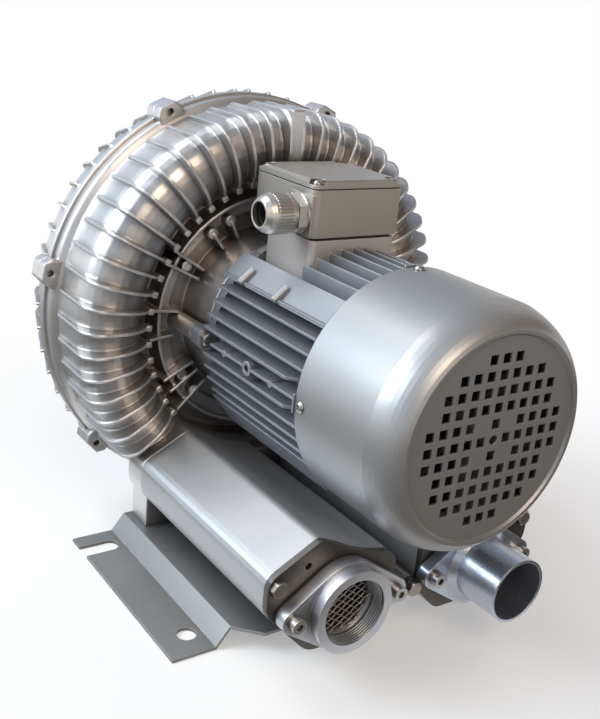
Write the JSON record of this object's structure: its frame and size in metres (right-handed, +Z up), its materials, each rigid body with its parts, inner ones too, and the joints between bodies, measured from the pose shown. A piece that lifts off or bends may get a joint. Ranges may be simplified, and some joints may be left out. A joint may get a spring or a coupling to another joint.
{
  "type": "side channel blower",
  "caption": "Ring blower with a finned side channel housing, fan cooled motor, terminal box, silencers, a threaded port, a hose nozzle and a raised sheet base",
  "frame": {"origin": "on the floor, at the middle of the whole length and width; the four mounting holes are centred 20.5 mm behind it", "axes": "+Z up, +Y from the fan cowl to the ring shaped housing along the shaft, +X to the side of the hose nozzle"},
  "size_m": [0.427, 0.459, 0.4444],
  "materials": {
    "base_plate": "bent steel sheet, dull zinc grey",
    "front_housing": "die cast aluminium, silver painted",
    "rear_cover": "die cast aluminium, silver painted",
    "housing_screws": "zinc plated steel",
    "foot_bolts": "dark steel",
    "foot_nuts": "dark steel",
    "motor_frame": "die cast aluminium, blue grey paint",
    "stator_core": "stacked electrical steel",
    "stator_windings": "varnished copper wire",
    "drive_end_shield": "die cast aluminium, blue grey paint",
    "fan_end_shield": "die cast aluminium, blue grey paint",
    "motor_screws": "zinc plated steel",
    "fan_cowl": "pressed steel sheet, satin blue grey paint",
    "cowl_screws": "zinc plated steel",
    "terminal_box": "cast aluminium, satin warm grey paint",
    "box_gasket": "black rubber",
    "lid_gasket": "black rubber",
    "terminal_lid": "cast aluminium, satin warm grey paint",
    "lid_screws": "zinc plated steel",
    "terminal_block": "dark moulded resin",
    "terminal_studs": "brass",
    "gland_body": "nickel plated brass",
    "gland_seal": "black rubber",
    "gland_nut": "nickel plated brass",
    "silencer_tube_left": "extruded aluminium, silver painted",
    "silencer_tube_right": "extruded aluminium, silver painted",
    "end_plate_left": "cast aluminium",
    "end_plate_right": "cast aluminium",
    "foam_left": "dark open cell foam",
    "foam_right": "dark open cell foam",
    "silencer_bolts": "zinc plated steel",
    "flange_gaskets": "fibre gasket sheet",
    "threaded_flange": "cast and turned aluminium",
    "port_screen": "steel wire mesh",
    "hose_flange": "turned aluminium",
    "flange_screws": "zinc plated steel",
    "bearing_outer_rings": "ground bearing steel",
    "bearing_balls": "polished bearing steel",
    "shaft_seal": "black rubber",
    "shaft": "turned and ground steel",
    "impeller_key": "bright key steel",
    "impeller": "die cast aluminium",
    "impeller_washer": "zinc plated steel",
    "impeller_bolt": "zinc plated steel",
    "rotor_core": "electrical steel with cast aluminium rings",
    "cooling_fan": "black moulded plastic",
    "bearing_inner_rings": "ground bearing steel"
  },
  "bodies": {
    "blower": {"base_plate": "base_plate", "front_housing": "front_housing", "rear_cover": "rear_cover", "housing_screws": "housing_screws", "foot_bolts": "foot_bolts", "foot_nuts": "foot_nuts", "motor_frame": "motor_frame", "stator_core": "stator_core", "stator_windings": "stator_windings", "drive_end_shield": "drive_end_shield", "fan_end_shield": "fan_end_shield", "motor_screws": "motor_screws", "fan_cowl": "fan_cowl", "cowl_screws": "cowl_screws", "terminal_box": "terminal_box", "box_gasket": "box_gasket", "lid_gasket": "lid_gasket", "terminal_lid": "terminal_lid", "lid_screws": "lid_screws", "terminal_block": "terminal_block", "terminal_studs": "terminal_studs", "gland_body": "gland_body", "gland_seal": "gland_seal", "gland_nut": "gland_nut", "silencer_tube_left": "silencer_tube_left", "silencer_tube_right": "silencer_tube_right", "end_plate_left": "end_plate_left", "end_plate_right": "end_plate_right", "foam_left": "foam_left", "foam_right": "foam_right", "silencer_bolts": "silencer_bolts", "flange_gaskets": "flange_gaskets", "threaded_flange": "threaded_flange", "port_screen": "port_screen", "hose_flange": "hose_flange", "flange_screws": "flange_screws", "bearing_outer_rings": "bearing_outer_rings", "bearing_balls": "bearing_balls", "shaft_seal": "shaft_seal"},
    "rotor": {"shaft": "shaft", "impeller_key": "impeller_key", "impeller": "impeller", "impeller_washer": "impeller_washer", "impeller_bolt": "impeller_bolt", "rotor_core": "rotor_core", "cooling_fan": "cooling_fan", "bearing_inner_rings": "bearing_inner_rings"}
  },
  "joints": [
    {"name": "rotor_spin", "type": "hinge", "parent": "blower", "child": "rotor", "pos_m": [0, 0, 0.235], "axis": [0, 1, 0], "continuous": true}
  ]
}
